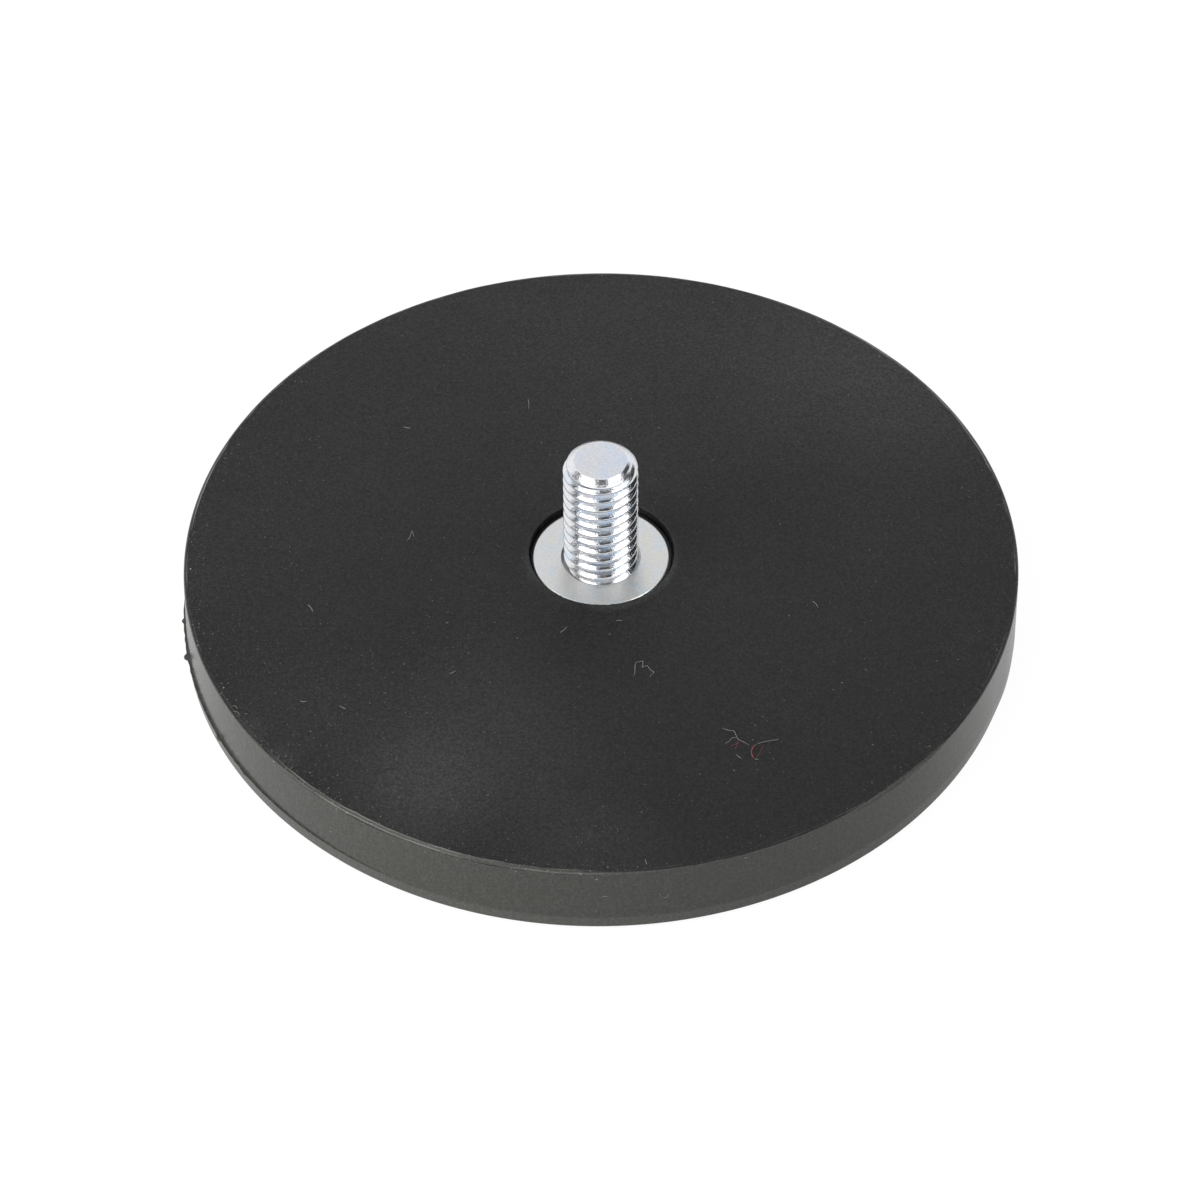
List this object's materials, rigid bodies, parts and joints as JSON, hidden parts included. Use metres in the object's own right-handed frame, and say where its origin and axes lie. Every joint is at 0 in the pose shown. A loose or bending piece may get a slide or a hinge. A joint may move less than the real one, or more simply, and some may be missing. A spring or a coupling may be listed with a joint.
{
  "type": "pot magnet",
  "caption": "Flat round rubber-coated pot magnet with a threaded stud standing on its back, to clamp a fixture to steel without scratching it.",
  "frame": {"origin": "centre of the flat holding face, at the bottom of the disc", "axes": "+Z along the threaded pin, away from the holding face; X and Y lie in the holding face, with X halfway between two magnets of each ring"},
  "size_m": [0.0888, 0.0888, 0.0224],
  "materials": {
    "rubber": "matte",
    "plate_zinc": "satin",
    "bush_zinc": "satin",
    "pin_zinc": "gloss",
    "magnet_nickel": "gloss"
  },
  "bodies": {
    "root": {"flanged_bush": "bush_zinc", "magnet_ring1_01": "magnet_nickel", "magnet_ring1_02": "magnet_nickel", "magnet_ring1_03": "magnet_nickel", "magnet_ring1_04": "magnet_nickel", "magnet_ring1_05": "magnet_nickel", "magnet_ring1_06": "magnet_nickel", "magnet_ring1_07": "magnet_nickel", "magnet_ring1_08": "magnet_nickel", "magnet_ring1_09": "magnet_nickel", "magnet_ring1_10": "magnet_nickel", "magnet_ring1_11": "magnet_nickel", "magnet_ring1_12": "magnet_nickel", "magnet_ring2_01": "magnet_nickel", "magnet_ring2_02": "magnet_nickel", "magnet_ring2_03": "magnet_nickel", "magnet_ring2_04": "magnet_nickel", "magnet_ring2_05": "magnet_nickel", "magnet_ring2_06": "magnet_nickel", "rubber_coat": "rubber", "steel_back_plate": "plate_zinc", "threaded_pin": "pin_zinc"}
  },
  "joints": []
}
